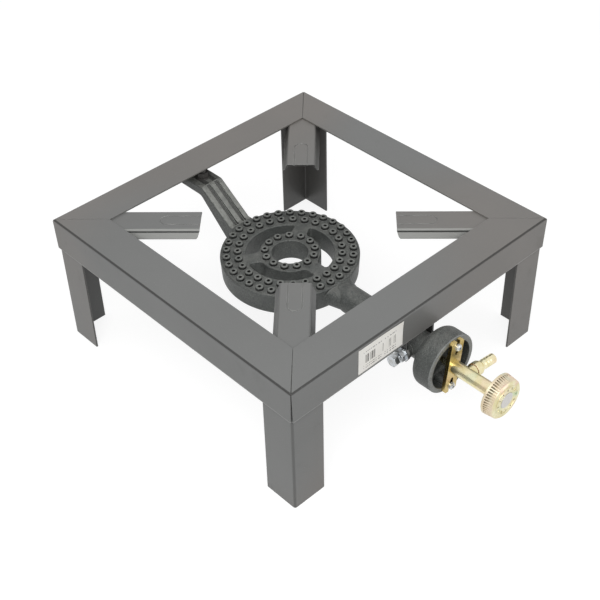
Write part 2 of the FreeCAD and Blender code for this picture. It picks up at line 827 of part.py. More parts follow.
def casting_voids():
    """Everything that is hollow in the casting, less the two screw lugs in the bell."""
    hollows = [bell_cavity(),
               channel("outer_channel", "slot_radius + cast_wall", "ring_radius - ring_draft - cast_wall"),
               channel("inner_channel", "ring_bore + cast_wall", "hub_radius - cast_wall"),
               cylinder("neck_duct", "neck_bore", "bell_back - middle_row",
                        ("0", "ring_y - middle_row", "axis_height"), FORWARD)]
    for index, angle in enumerate((30, 150, 270)):
        heading = Vector(math.cos(math.radians(angle)), math.sin(math.radians(angle)), 0)
        spot = (f"cos({angle}) * inner_row", f"ring_y + sin({angle}) * inner_row", "axis_height")
        hollows.append(cylinder(f"spoke_duct_{index}", "spoke_duct / 2", "middle_row - inner_row",
                                spot, Rotation(Vector(0, 0, 1), heading)))
    lugs = [cylinder(f"screw_lug_{index}", "lug_radius", "lug_depth",
                     screw_spot(sign, "mouth_y + lug_depth"), FORWARD) for index, sign in enumerate("+-")]
    return cut("casting_voids", fuse("hollows", hollows), fuse("screw_lugs", lugs))


def burner_casting():
    boss = cylinder("neck_boss", "boss_diameter / 2", "hanger_inside",
                    ("0", "neck_bolt_y", "axis_height"), OUT_LEFT)
    outside = fuse("casting_outside", [ring_body(), neck_body(), flare_body(), arm_body(), boss])
    holes = [
        cylinder("neck_bolt_hole", "bolt_diameter / 2 + thread_clearance", "neck_bolt_length",
                 ("-neck_bolt_tip + thread_clearance", "neck_bolt_y", "axis_height"), OUT_LEFT),
        cylinder("stud_hole", "(bolt_diameter + bolt_clearance) / 2", "arm_depth * 2",
                 ("0", "ring_y + stud_back", "arm_top - arm_depth * 3 / 2"))]
    for index, sign in enumerate("+-"):
        holes.append(cylinder(f"screw_hole_{index}", "screw_diameter / 2 + thread_clearance", "lug_depth",
                              screw_spot(sign, "mouth_y + lug_depth - bell_lip"), FORWARD))
    hollow = cut("casting_hollow", outside, casting_voids())
    keep(cut("burner_casting", hollow, fuse("casting_holes", holes)), "burner_casting")


# What holds the burner in the stand

def burner_hanger():
    """A strap over the neck, welded under the front flange, with an eye for the neck bolt."""
    body = new_body("burner_hanger", ("0", "neck_bolt_y", "axis_height"))
    top = "flange_under - axis_height"
    pad(body, outline(new_sketch(body, "XZ_Plane"), [
        ("-hanger_outside", "-hanger_drop"),
        ("-hanger_inside", "-hanger_drop"),
        ("-hanger_inside", f"{top} - hanger_thickness"),
        ("hanger_right", f"{top} - hanger_thickness"),
        ("hanger_right", "-hanger_drop"),
        ("hanger_right + hanger_thickness", "-hanger_drop"),
        ("hanger_right + hanger_thickness", top),
        ("-hanger_outside", top)]), "hanger_width", "Symmetric")
    left = new_sketch(body, "YZ_Plane", ("0", "0", "-hanger_outside"))
    pad(body, ring_line(left, "hanger_drop"), "hanger_thickness")
    eye = new_sketch(body, "YZ_Plane", ("0", "0", "-hanger_outside"))
    pocket(body, ring_line(eye, "(bolt_diameter + bolt_clearance) / 2"), "hanger_thickness * 3", "Symmetric")
    keep(body, "burner_hanger")


def rear_fastening():
    stud_y = "ring_y + stud_back"
    stud = cylinder("rear_stud", "bolt_diameter / 2", "stud_length",
                    ("0", stud_y, "flange_under - stud_length"))
    keep(stud, "rear_stud")
    levels = {"upper": "arm_top", "lower": "arm_top - arm_depth - washer_thickness"}
    washers = [washer(f"{side}_washer", "washer_diameter", "(bolt_diameter + bolt_clearance)",
                      "washer_thickness", ("0", stud_y, level)) for side, level in levels.items()]
    keep(group("rear_washers", washers), "rear_washers")
    nuts = [nut("upper_nut", ("0", stud_y, "arm_top + washer_thickness")),
            nut("lower_nut", ("0", stud_y, "arm_top - arm_depth - washer_thickness - nut_height"))]
    keep(group("rear_nuts", nuts), "rear_nuts")


def neck_fastening():
    """The bolt that hangs the neck from the strap's eye, with its washer and lock nut."""
    shank = cylinder("neck_bolt_shank", "bolt_diameter / 2", "neck_bolt_length",
                     ("-neck_bolt_tip", "neck_bolt_y", "axis_height"), OUT_LEFT)
    head = hexagon("neck_bolt_block", "nut_flats", "head_height",
                   ("-neck_head_x", "neck_bolt_y", "axis_height"), OUT_LEFT)
    rounded = turned("neck_bolt_cone", ("-neck_head_x", "neck_bolt_y", "axis_height"), OUT_LEFT, [
        ("0", "0"),
        ("nut_flats / 2 / cos(30)", "0"),
        ("nut_flats / 2 / cos(30)", "head_height * 4 / 5"),
        ("nut_flats / 2", "head_height"),
        ("0", "head_height")])
    solid = doc.addObject("Part::MultiCommon", "neck_bolt_head")
    solid.Shapes = [head, rounded]
    keep(fuse("neck_bolt", [shank, solid]), "neck_bolt")
    keep(washer("neck_washer", "washer_diameter", "(bolt_diameter + bolt_clearance)", "washer_thickness",
                ("-hanger_outside", "neck_bolt_y", "axis_height"), OUT_LEFT), "neck_washer")
    keep(nut("neck_lock_nut", ("-hanger_outside - washer_thickness", "neck_bolt_y", "axis_height"),
             OUT_LEFT), "neck_lock_nut")


# Valve

def valve_bracket():
    """The bar across the bell, open-slotted at both ends for its screws."""
    body = new_body("valve_bracket", MOUTH, ROLLED)
    pad(body, outline(new_sketch(body, "XY_Plane"), [
        ("-bracket_width / 2", "-bracket_length / 2"),
        ("bracket_width / 2", "-bracket_length / 2"),
        ("bracket_width / 2", "bracket_length / 2"),
        ("-bracket_width / 2", "bracket_length / 2")]), "bracket_thickness")
    half = value("bracket_length / 2")
    chamfer(body, "bracket_slot / 2", lambda edge: along(edge, Vector(0, 0, 1))
            and near(abs(edge.CenterOfMass.y), half))
    slots = new_sketch(body, "XY_Plane")
    for sign, turn in (("", -1), ("-", 1)):
        end = f"{sign}(bracket_length / 2 - bracket_slot_depth + bracket_slot / 2)"
        outline(slots, [
            ("-bracket_slot / 2", f"{sign}(bracket_length / 2 + sheet)"),
            ("bracket_slot / 2", f"{sign}(bracket_length / 2 + sheet)"),
            ("bracket_slot / 2", end),
            ("-bracket_slot / 2", end, "0", end, turn)])
    pocket(body, slots, None, "Symmetric")
    bore = ring_line(new_sketch(body, "XY_Plane"), "spigot_radius + thread_clearance")
    pocket(body, bore, None, "Symmetric")
    keep(body, "valve_bracket")


def port_spot(out):
    """A place on the axis of the side port, this far out from the valve's own axis."""
    return (f"cos(valve_roll) * ({out})", "mouth_y - port_centre",
            f"axis_height - sin(valve_roll) * ({out})")


def valve_body():
    """The brass body: rear spigot, gas chamber, spindle thread and gland socket in one bore."""
    thread_start = "(bracket_thickness + chamber_length)"
    body = turned("valve_shell", MOUTH, FORWARD, [
        ("injector_thread + thread_clearance", "-spigot_length"),
        ("spigot_radius", "-spigot_length"),
        ("spigot_radius", "bracket_thickness"),
        ("body_radius", "bracket_thickness"),
        ("body_radius", "bore_front"),
        ("seal_radius", "bore_front"),
        ("seal_radius", "bore_front - seal_length"),
        ("thread_radius", "bore_front - seal_length"),
        ("thread_radius", thread_start),
        ("chamber_radius", thread_start),
        ("chamber_radius", "bracket_thickness"),
        ("injector_thread + thread_clearance", "bracket_thickness")])
    chamfer(body, "rib_depth", lambda edge: rim_at(edge, value("body_radius"), value("bore_front")))
    side = port_spot("0")
    boss = cylinder("side_boss", "side_boss_radius", "side_boss_reach", side, PORT_SIDE)
    chamber = cylinder("boss_clearance", "chamber_radius", "side_boss_radius * 2",
                       ("0", "mouth_y - port_centre + side_boss_radius", "axis_height"), FORWARD)
    solid = fuse("valve_solid", [body, cut("side_boss_shell", boss, chamber)])
    socket = cylinder("nozzle_socket", "nozzle_bore + nozzle_spigot / 2 + thread_clearance",
                      "side_boss_reach", port_spot("chamber_radius - thread_clearance"), PORT_SIDE)
    keep(cut("valve_body", solid, socket), "valve_body")


def injector():
    """The gas jet behind the bracket, with its orifice on the bell's axis."""
    hexagonal = hexagon("injector_block", "injector_flats", "injector_hex",
                        ("0", "mouth_y + spigot_length + injector_hex", "axis_height"), FORWARD)
    stem = turned("injector_stem", MOUTH, FORWARD, [
        ("0", "-spigot_length - injector_hex - injector_nose"),
        ("injector_bore + edge_round", "-spigot_length - injector_hex - injector_nose"),
        ("injector_thread + edge_round", "-spigot_length - injector_hex"),
        ("injector_thread", "-spigot_length"),
        ("injector_thread", "injector_engage - spigot_length"),
        ("0", "injector_engage - spigot_length")])
    tip = "-spigot_length - injector_hex - injector_nose"
    bore = turned("injector_bore_cone", MOUTH, FORWARD, [
        ("0", f"{tip} - sheet"),
        ("orifice", f"{tip} - sheet"),
        ("orifice", f"{tip} + sheet"),
        ("injector_bore", f"{tip} + sheet * 3 / 2"),
        ("injector_bore", "bracket_thickness"),
        ("0", "bracket_thickness")])
    keep(cut("injector", fuse("injector_solid", [hexagonal, stem]), bore), "injector")


def hose_nozzle():
    """The hose tail: a collar, a cone and a long land with three grooved ribs."""
    corners = [
        ("nozzle_bore", "chamber_radius + running_clearance"),
        ("nozzle_bore + nozzle_spigot / 2", "chamber_radius + running_clearance"),
        ("nozzle_bore + nozzle_spigot / 2", "nozzle_seat"),
        ("nozzle_collar", "nozzle_seat"),
        ("nozzle_collar", "nozzle_seat + nozzle_collar_length"),
        ("nozzle_radius", "nozzle_land")]
    for rib in range(SIZES["rib_count"]):
        foot = f"nozzle_land + rib_pitch * {rib + 0.5}"
        corners += [("nozzle_radius", foot), ("nozzle_radius - rib_depth", foot),
                    ("nozzle_radius", f"{foot} + rib_pitch / 2")]
    corners += [
        ("nozzle_radius", "nozzle_seat + nozzle_length - rib_depth"),
        ("nozzle_radius - rib_depth", "nozzle_seat + nozzle_length"),
        ("nozzle_bore", "nozzle_seat + nozzle_length")]
    keep(turned("hose_nozzle", port_spot("0"), PORT_SIDE, corners), "hose_nozzle")
    keep(washer("nozzle_washer", "(side_boss_radius * 2)", "(nozzle_bore * 2 + nozzle_spigot + thread_clearance)",
                "nozzle_washer_thickness", port_spot("side_boss_reach"), PORT_SIDE), "nozzle_washer")


def valve_screws():
    """The two pan-head screws of the bracket and the spring washers under their heads."""
    screws, washers = [], []
    seat = "mouth_y - bracket_thickness"
    for index, sign in enumerate("+-"):
        washers.append(washer(f"screw_washer_{index}", "screw_washer", "(screw_diameter + bolt_clearance)",
                              "screw_washer_thickness", screw_spot(sign, seat), FORWARD))
        head = turned(f"screw_{index}", screw_spot(sign, f"{seat} - screw_washer_thickness"), FORWARD, [
            ("0", "-screw_length"),
            ("screw_diameter / 2", "-screw_length"),
            ("screw_diameter / 2", "0"),
            ("screw_head / 2", "0"),
            ("screw_head / 2", "screw_head_height / 2"),
            ("screw_head / 3", "screw_head_height"),
            ("0", "screw_head_height")])
        for turn in (0, 90):
            arm = recess_bar(head, turn)
            pocket(head, arm, "recess_depth")
        screws.append(head)
    keep(group("valve_screws", screws), "valve_screws")
    keep(group("screw_washers", washers), "screw_washers")


def recess_bar(body, turn):
    """One bar of the cross recess in a screw head."""
    long, short = "screw_head / 4", "recess_width / 2"
    right, up = (long, short) if turn == 0 else (short, long)
    return outline(new_sketch(body, "XY_Plane", ("0", "0", "screw_head_height")), [
        (f"-{right}", f"-{up}"), (right, f"-{up}"), (right, up), (f"-{right}", up)])


# Moving parts

def valve_needle():
    """The needle closes the injector.  Its head swivels in the spindle's socket."""
    head_start = "spindle_rear + socket_lip + needle_play"
    keep(turned("valve_needle", MOUTH, FORWARD, [
        ("0", "needle_seat - needle_cone"),
        ("needle_point", "needle_seat - needle_cone"),
        ("needle_radius", "needle_seat"),
        ("needle_radius", head_start),
        ("needle_head", head_start),
        ("needle_head", "spindle_rear + socket_depth - needle_play"),
        ("0", "spindle_rear + socket_depth - needle_play")]), "valve_needle")


def valve_spindle():
    thread_end = "(spindle_thread_start + spindle_thread_length)"
    keep(turned("valve_spindle", MOUTH, FORWARD, [
        ("needle_radius + running_clearance", "spindle_rear"),
        ("spindle_radius + rib_depth", "spindle_rear"),
        ("spindle_radius + rib_depth", "spindle_thread_start"),
        ("spindle_thread", "spindle_thread_start"),
        ("spindle_thread", thread_end),
        ("spindle_radius", thread_end),
        ("spindle_radius", "web_back"),
        ("knob_screw_radius + thread_clearance", "web_back"),
        ("knob_screw_radius + thread_clearance", "web_back - knob_screw_length"),
        ("0", "web_back - knob_screw_length"),
        ("0", "spindle_rear + socket_depth"),
        ("socket_radius", "spindle_rear + socket_depth"),
        ("socket_radius", "spindle_rear + socket_lip"),
        ("needle_radius + running_clearance", "spindle_rear + socket_lip")]), "valve_spindle")
    ring = doc.addObject("Part::Torus", "spindle_seal")
    ring.setExpression("Radius1", bound("spindle_radius + thread_clearance + seal_cord"))
    ring.setExpression("Radius2", bound("seal_cord"))
    keep(place(ring, ("0", "mouth_y - seal_place", "axis_height"), FORWARD), "spindle_seal")


def gland_nut():
    """The packing nut in the mouth of the body."""
    block = hexagon("gland_block", "(gland_radius * 2)", "gland_height",
                    ("0", "mouth_y - bore_front", "axis_height"), FORWARD)
    spigot = cylinder("gland_spigot", "seal_radius - running_clearance", "gland_engage",
                      ("0", "mouth_y - bore_front + gland_engage", "axis_height"), FORWARD)
    keep(drilled("gland_nut", fuse("gland_solid", [block, spigot]), "spindle_radius + running_clearance",
                 "gland_engage + gland_height", ("0", "mouth_y - bore_front + gland_engage", "axis_height"),
                 FORWARD), "gland_nut")


def knob():
    """A fluted knob, hollow at the back round its hub, with a ring of plain ticks in front."""
    body = turned("knob", MOUTH, FORWARD, [
        ("spindle_radius + thread_clearance", "knob_back"),
        ("knob_hub", "knob_back"),
        ("knob_hub", "knob_back + knob_back_depth"),
        ("knob_radius - knob_shell", "knob_back + knob_back_depth"),
        ("knob_radius - knob_shell", "knob_back"),
        ("knob_radius", "knob_back"),
        ("knob_radius - knob_taper", "knob_front - knob_chamfer"),
        ("knob_radius - knob_taper - knob_chamfer", "knob_front"),
        ("cap_radius + running_clearance", "knob_front"),
        ("cap_radius + running_clearance", "web_front"),
        ("knob_screw_radius + running_clearance", "web_front"),
        ("knob_screw_radius + running_clearance", "web_back"),
        ("spindle_radius + thread_clearance", "web_back")])
    notch = new_sketch(body, "XY_Plane", ("0", "0", "knob_front - flute_end"))
    flute = pocket(body, ring_line(notch, "flute_radius", "knob_radius - knob_taper / 2"),
                   "knob_depth - flute_end * 2")
    ring_of(body, [flute], "flute_count")
    face = new_sketch(body, "XY_Plane", ("0", "0", "knob_front"))
    pad(body, ring_line(ring_line(face, "face_ring_radius"), "face_ring_radius - face_ring_width"),
        "face_relief")
    mark = new_sketch(body, "XY_Plane", ("0", "0", "knob_front"))
    tick_out = "face_ring_radius - face_ring_width * 2"
    tick = pad(body, outline(mark, [
        (f"{tick_out} - tick_length", "-tick_width / 2"),
        (tick_out, "-tick_width / 2"),
        (tick_out, "tick_width / 2"),
        (f"{tick_out} - tick_length", "tick_width / 2")]), "face_relief")
    ring_of(body, [tick], "tick_count")
    keep(body, "knob")


def knob_fastening():
    keep(turned("knob_screw", MOUTH, FORWARD, [
        ("0", "web_back - knob_screw_length + bolt_clearance"),
        ("knob_screw_radius", "web_back - knob_screw_length + bolt_clearance"),
        ("knob_screw_radius", "web_front"),
        ("knob_screw_head", "web_front"),
        ("knob_screw_head", "web_front + knob_screw_head_height"),
        ("0", "web_front + knob_screw_head_height")]), "knob_screw")
    keep(cylinder("knob_cap", "cap_radius", "cap_thickness",
                  ("0", "mouth_y - knob_front - cap_proud + cap_thickness", "axis_height"), FORWARD), "knob_cap")


def label():
    """A blank paper label on the front skirt."""
    plate = doc.addObject("Part::Box", "label")
    plate.setExpression("Length", bound("label_width"))
    plate.setExpression("Width", bound("label_thickness"))
    plate.setExpression("Height", bound("label_height"))
    keep(place(plate, ("-label_right - label_width", "stand_y - side / 2 - label_thickness",
                       "height - label_top - label_height")), "label")


def export_pieces():
    doc.recompute()
    faults = [item.Name for item in doc.Objects if {"Invalid", "Error"} & set(item.State)]
    faults += [item.Label for item in pieces if item.Shape.isNull() or not item.Shape.isValid()]
    if faults:
        raise RuntimeError(f"these objects failed: {faults}")
    os.makedirs("parts", exist_ok=True)
    for item in pieces:
        item.Shape.exportStep(f"parts/{item.Label}.step")
        print(item.Label, len(item.Shape.Solids), "solids", round(item.Shape.Volume), "mm3")


fill_sheet()
for quarter, side in enumerate(("front", "right", "rear", "left")):
    rail(f"rail_{side}", quarter)
for quarter, corner in enumerate(CORNERS):
    leg(f"leg_{corner}", quarter)
    finger(f"pot_finger_{corner}", quarter)
leg_welds()
finger_welds()
mitre_welds()
burner_casting()
burner_hanger()
rear_fastening()
neck_fastening()
valve_bracket()
valve_body()
injector()
hose_nozzle()
valve_screws()
valve_needle()
valve_spindle()
gland_nut()
knob()
knob_fastening()
label()
export_pieces()
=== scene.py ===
"""The looks of a single-ring gas stock pot range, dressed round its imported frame.  Metres, +Z up,
the valve towards -Y."""
import math

import bmesh
import bpy
import numpy as np
from mathutils import Matrix, Vector


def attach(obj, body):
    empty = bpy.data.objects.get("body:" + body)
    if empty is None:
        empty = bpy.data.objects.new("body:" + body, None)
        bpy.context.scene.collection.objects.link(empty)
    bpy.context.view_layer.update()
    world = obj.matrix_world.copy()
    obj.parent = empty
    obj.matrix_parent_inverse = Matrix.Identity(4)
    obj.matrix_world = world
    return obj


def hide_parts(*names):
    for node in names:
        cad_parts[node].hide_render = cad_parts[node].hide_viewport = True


MM = 0.001

# The stand: its middle, half its side, and what its rails and fingers measure
STAND_Y = 0.05525
SIDE = 0.2
FLANGE_UNDER = 0.170
SHEET = 0.002
HEM_TOP = 0.1331
SLIT_LOW, SLIT_HIGH = 0.128, 0.136
LEG_HIDDEN_FROM = 0.165
FINGER_HALF = 0.018
FINGER_SLOPE = 4 / 6.3
FINGER_STRAIGHT = 0.0042
STUD_Y = 0.22725

# The way of the diagonal from the front left corner, the way across it, and that corner under the flange
HALF = math.sqrt(0.5)
INWARD = np.array([HALF, HALF, 0])
ASIDE = np.array([-HALF, HALF, 0])
CORNER = np.array([-SIDE, STAND_Y - SIDE, FLANGE_UNDER])

# The casting: the axis of its neck, its mouth, its ring, the nipples on it and the arm behind it
AXIS_Z = 0.1015
NECK_BOLT_Y = -0.13175
MOUTH_Y = -0.17925
RING_Y = 0.07125
RING_REACH = 0.0855
RING_TOP = 0.115
NIPPLE_REACH = 0.0849
NIPPLE_HEIGHT = 0.0038
ARM_FOOT_Y, ARM_FOOT_Z, ARM_RISE = RING_Y + 0.091, AXIS_Z + 0.011, 0.698
GROOVE_IN, GROOVE_OUT = 0.0029, 0.0091

# The valve
VALVE_ROLL = math.radians(7)
KNOB_BACK = MOUTH_Y - 0.061
KNOB_FACE = MOUTH_Y - 0.0755
KNOB_RADIUS = 0.0245
KNOB_TAPER = 0.0015 / 0.0129
TICK_RING = 0.0158

# The label: its lower left corner and its size
LABEL_LEFT, LABEL_BOTTOM = -0.107, 0.135
LABEL_WIDTH, LABEL_HEIGHT = 0.066, 0.033

# The camera
EYE, TARGET = Vector((-0.7240, -0.73175, 0.9688)), Vector((-0.0323, 0.02095, 0.090))
LENS, CAMERA_ROLL = 69.98, -0.0279

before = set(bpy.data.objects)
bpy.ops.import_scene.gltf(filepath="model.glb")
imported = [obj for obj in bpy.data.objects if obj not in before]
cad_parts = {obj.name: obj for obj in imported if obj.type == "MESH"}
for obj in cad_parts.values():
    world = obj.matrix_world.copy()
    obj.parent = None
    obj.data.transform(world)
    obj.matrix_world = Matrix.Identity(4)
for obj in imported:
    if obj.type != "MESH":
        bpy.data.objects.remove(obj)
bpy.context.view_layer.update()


# Shader maths

class Value:
    """A socket of a finish.  Sums and products written on it add their Math nodes."""

    def __init__(self, finish, socket):
        self.finish, self.socket = finish, socket

    def math(self, operation, *others, clamp=False):
        return self.finish.node("ShaderNodeMath", {"operation": operation, "use_clamp": clamp},
                                dict(enumerate((self, *others))))

    def __add__(self, other):
        return self.math("ADD", other)

    def __sub__(self, other):
        return self.math("SUBTRACT", other)

    def __rsub__(self, other):
        return self.finish.node("ShaderNodeMath", {"operation": "SUBTRACT"}, {0: other, 1: self})

    def __mul__(self, other):
        return self.math("MULTIPLY", other)

    def __pow__(self, other):
        return self.math("POWER", other)

    def __gt__(self, other):
        return self.math("GREATER_THAN", other)

    def __lt__(self, other):
        return self.math("LESS_THAN", other)

    def __abs__(self):
        return self.math("ABSOLUTE")

    __radd__ = __add__
    __rmul__ = __mul__

    def held(self):
        """The same value kept between 0 and 1."""
        return self.math("ADD", 0, clamp=True)

    def steps(self, low, high):
        """0 below low, 1 above high, smooth between them."""
        return self.finish.node("ShaderNodeMapRange", {"interpolation_type": "SMOOTHSTEP"},
                                {"Value": self, "From Min": low, "From Max": high})


class Finish:
    """A material or a world with a short way to add nodes."""

    def __init__(self, holder):
        holder.use_nodes = True
        self.holder, self.tree = holder, holder.node_tree
        self.tree.nodes.clear()

    def node(self, kind, settings=None, inputs=None, out=0):
        """Adds a node: its settings first, then a value or a link for each named socket."""
        made = self.tree.nodes.new(kind)
        for name, setting in (settings or {}).items():
            setattr(made, name, setting)
        for name, content in (inputs or {}).items():
            if isinstance(content, Value):
                self.tree.links.new(content.socket, made.inputs[name])
            else:
                socket = made.inputs[name]
                is_colour = isinstance(content, tuple) and socket.type == "RGBA"
                socket.default_value = (*content, 1) if is_colour else content
        return Value(self, made.outputs[out]) if made.outputs else None

    def spot(self):
        """Where the point lies, in metres in the row's frame."""
        return self.node("ShaderNodeTexCoord", out="Object")

    def split(self, vector):
        made = self.node("ShaderNodeSeparateXYZ", inputs={0: vector}).socket.node
        return [Value(self, socket) for socket in made.outputs]

    def noise(self, scale, detail=2.0, rough=0.5, at=None):
        """A noise from 0 to 1 whose grains are about 1 / scale metres."""
        return self.node("ShaderNodeTexNoise", inputs={
            "Vector": at or self.spot(), "Scale": scale, "Detail": detail, "Roughness": rough})

    def blend(self, share, first, second, how="MIX"):
        """Two colours mixed by a share."""
        made = self.node("ShaderNodeMix", {"data_type": "RGBA", "blend_type": how}, out=2)
        node = made.socket.node
        colour_a, colour_b = [socket for socket in node.inputs if socket.type == "RGBA"]
        for socket, content in ((node.inputs[0], share), (colour_a, first), (colour_b, second)):
            if isinstance(content, Value):
                self.tree.links.new(content.socket, socket)
            else:
                socket.default_value = (*content, 1) if isinstance(content, tuple) else content
        return made

    def bump(self, height, strength, distance, normal=None):
        inputs = {"Height": height, "Strength": strength, "Distance": distance}
        if normal:
            inputs["Normal"] = normal
        return self.node("ShaderNodeBump", inputs=inputs)

    def edges(self, radius):
        """(how near the point is to a sharp edge, the normal rounded over that edge)."""
        rounded = self.node("ShaderNodeBevel", {"samples": 6}, {"Radius": radius})
        flat = self.node("ShaderNodeNewGeometry", out="Normal")
        same = self.node("ShaderNodeVectorMath", {"operation": "DOT_PRODUCT"}, {0: rounded, 1: flat},
                         out="Value")
        return (1 - same).steps(0.01, 0.16), rounded

    def skin(self, **sockets):
        """The surface shader, with its sockets by name, joined to the output."""
        inputs = {name.replace("_", " "): content for name, content in sockets.items()}
        shader = self.node("ShaderNodeBsdfPrincipled", inputs=inputs)
        self.node("ShaderNodeOutputMaterial", inputs={"Surface": shader})
        return self.holder


def new_finish(name):
    return Finish(bpy.data.materials.new(name))


def tone(red, green, blue):
    """A colour read off a screen, 0 to 255, as the linear colour that shaders use."""
    def linear(part):
        part /= 255
        return part / 12.92 if part <= 0.04045 else ((part + 0.055) / 1.055) ** 2.4
    return tuple(linear(part) for part in (red, green, blue))


# Finishes

def enamel(name, fold_shade=0.0, corner=0.0, edge_wear_and_highlight=0.35, fold_highlight=0.0, side_shade=0.0, hem_highlight=0.0,
           inner_face_shade=0.0, shade=1.0):
    """Baked satin enamel on folded steel: orange peel, cloudy tint, dust, and edges lightened partly as
    worn paint and partly as painted highlight.  fold_shade paints shade on a bend between a level and an
    upright face, corner the same on one between two upright faces, with near black painted shadow in
    the slit where two skirts meet and on the leg hidden under the flange; fold_highlight paints shade on
    upward bends and a highlight on those facing the front left, side_shade paints shade on upright
    faces, inner_face_shade on those that face the burner, hem_highlight is a painted highlight line
    along the bottom of a skirt and shade darkens all of it."""
    made = new_finish(name)
    cloud = made.noise(7, 3, 0.55)
    warm = made.noise(2.6, 1, 0.5).steps(0.42, 0.6)
    colour = made.blend(warm, tone(112, 113, 112), tone(117, 113, 109))
    colour = made.blend(cloud.steps(0.3, 0.75) * 0.3, colour, tone(98, 99, 98))
    facing = made.node("ShaderNodeNewGeometry", out="Normal")
    across, ahead, up = made.split(facing)
    level = (across * across + ahead * ahead) ** 0.5
    # painted shade: upright faces darkened
    if side_shade:
        colour = made.blend(level.steps(0.75, 0.95) * side_shade, colour, tone(40, 41, 40))
    # painted shade: a dark line along the bend between a level and an upright face
    if fold_shade:
        bent = (1 - up).steps(0.01, 0.07) * up.steps(0.36, 0.6) * level.steps(0.05, 0.2) * fold_shade
        colour = made.blend(bent, colour, tone(28, 27, 25))
    # painted shade on the upward bends, then a painted highlight on those that face the front left
    if fold_highlight:
        bent = (level * abs(up)).steps(0.1, 0.42) * (up > 0)
        colour = made.blend(bent * 0.4, colour, tone(72, 73, 71))
        outer = ((across + ahead) * -HALF).steps(0.1, 0.35)
        colour = made.blend(bent * outer * fold_highlight, colour, tone(176, 177, 173))
    right, back, height = made.split(made.spot())
    # painted shade: faces turned towards the burner darkened
    if inner_face_shade:
        to_burner = (right * across + (back - STAND_Y) * ahead) < -SIDE / 4
        colour = made.blend(to_burner * inner_face_shade, colour, tone(28, 30, 29))
    # painted shade along a bend between two upright faces; near black painted shadow in the slit between
    # skirts and on the part hidden under the flange
    if corner:
        bent = abs(across * ahead).steps(0.1, 0.48)
        colour = made.blend(bent * corner, colour, tone(52, 53, 51))
        slit_and_hidden_shadow = (bent * height.steps(SLIT_LOW, SLIT_HIGH) + (height > LEG_HIDDEN_FROM)).held()
        colour = made.blend(slit_and_hidden_shadow, colour, tone(14, 14, 14))
    # painted highlight: a light line along the bottom of the skirt
    if hem_highlight:
        colour = made.blend((height < HEM_TOP) * hem_highlight, colour, tone(176, 177, 174))
    # edges lightened: partly worn paint, partly painted highlight
    near_edge, rounded = made.edges(0.0009)
    edge_patches = made.noise(60, 4, 0.6).steps(0.35, 0.65)
    colour = made.blend(near_edge * (edge_patches * 0.6 + 0.4) * edge_wear_and_highlight, colour, tone(176, 177, 174))
    specks = made.noise(900, 1, 0.5).steps(0.69, 0.76)
    colour = made.blend(specks * 0.25, colour, tone(158, 158, 154))
    if shade < 1:
        colour = made.blend(1.0, colour, (shade, shade, shade), "MULTIPLY")
    scuffs = made.noise(38, 5, 0.7).steps(0.56, 0.72)
    peel = made.noise(420, 2, 0.5)
    normal = made.bump(peel, 0.22, 0.0002, rounded)
    return made.skin(Base_Color=colour, Roughness=0.4 + scuffs * 0.1 + (cloud - 0.5) * 0.08,
                     Normal=normal, IOR=1.5)


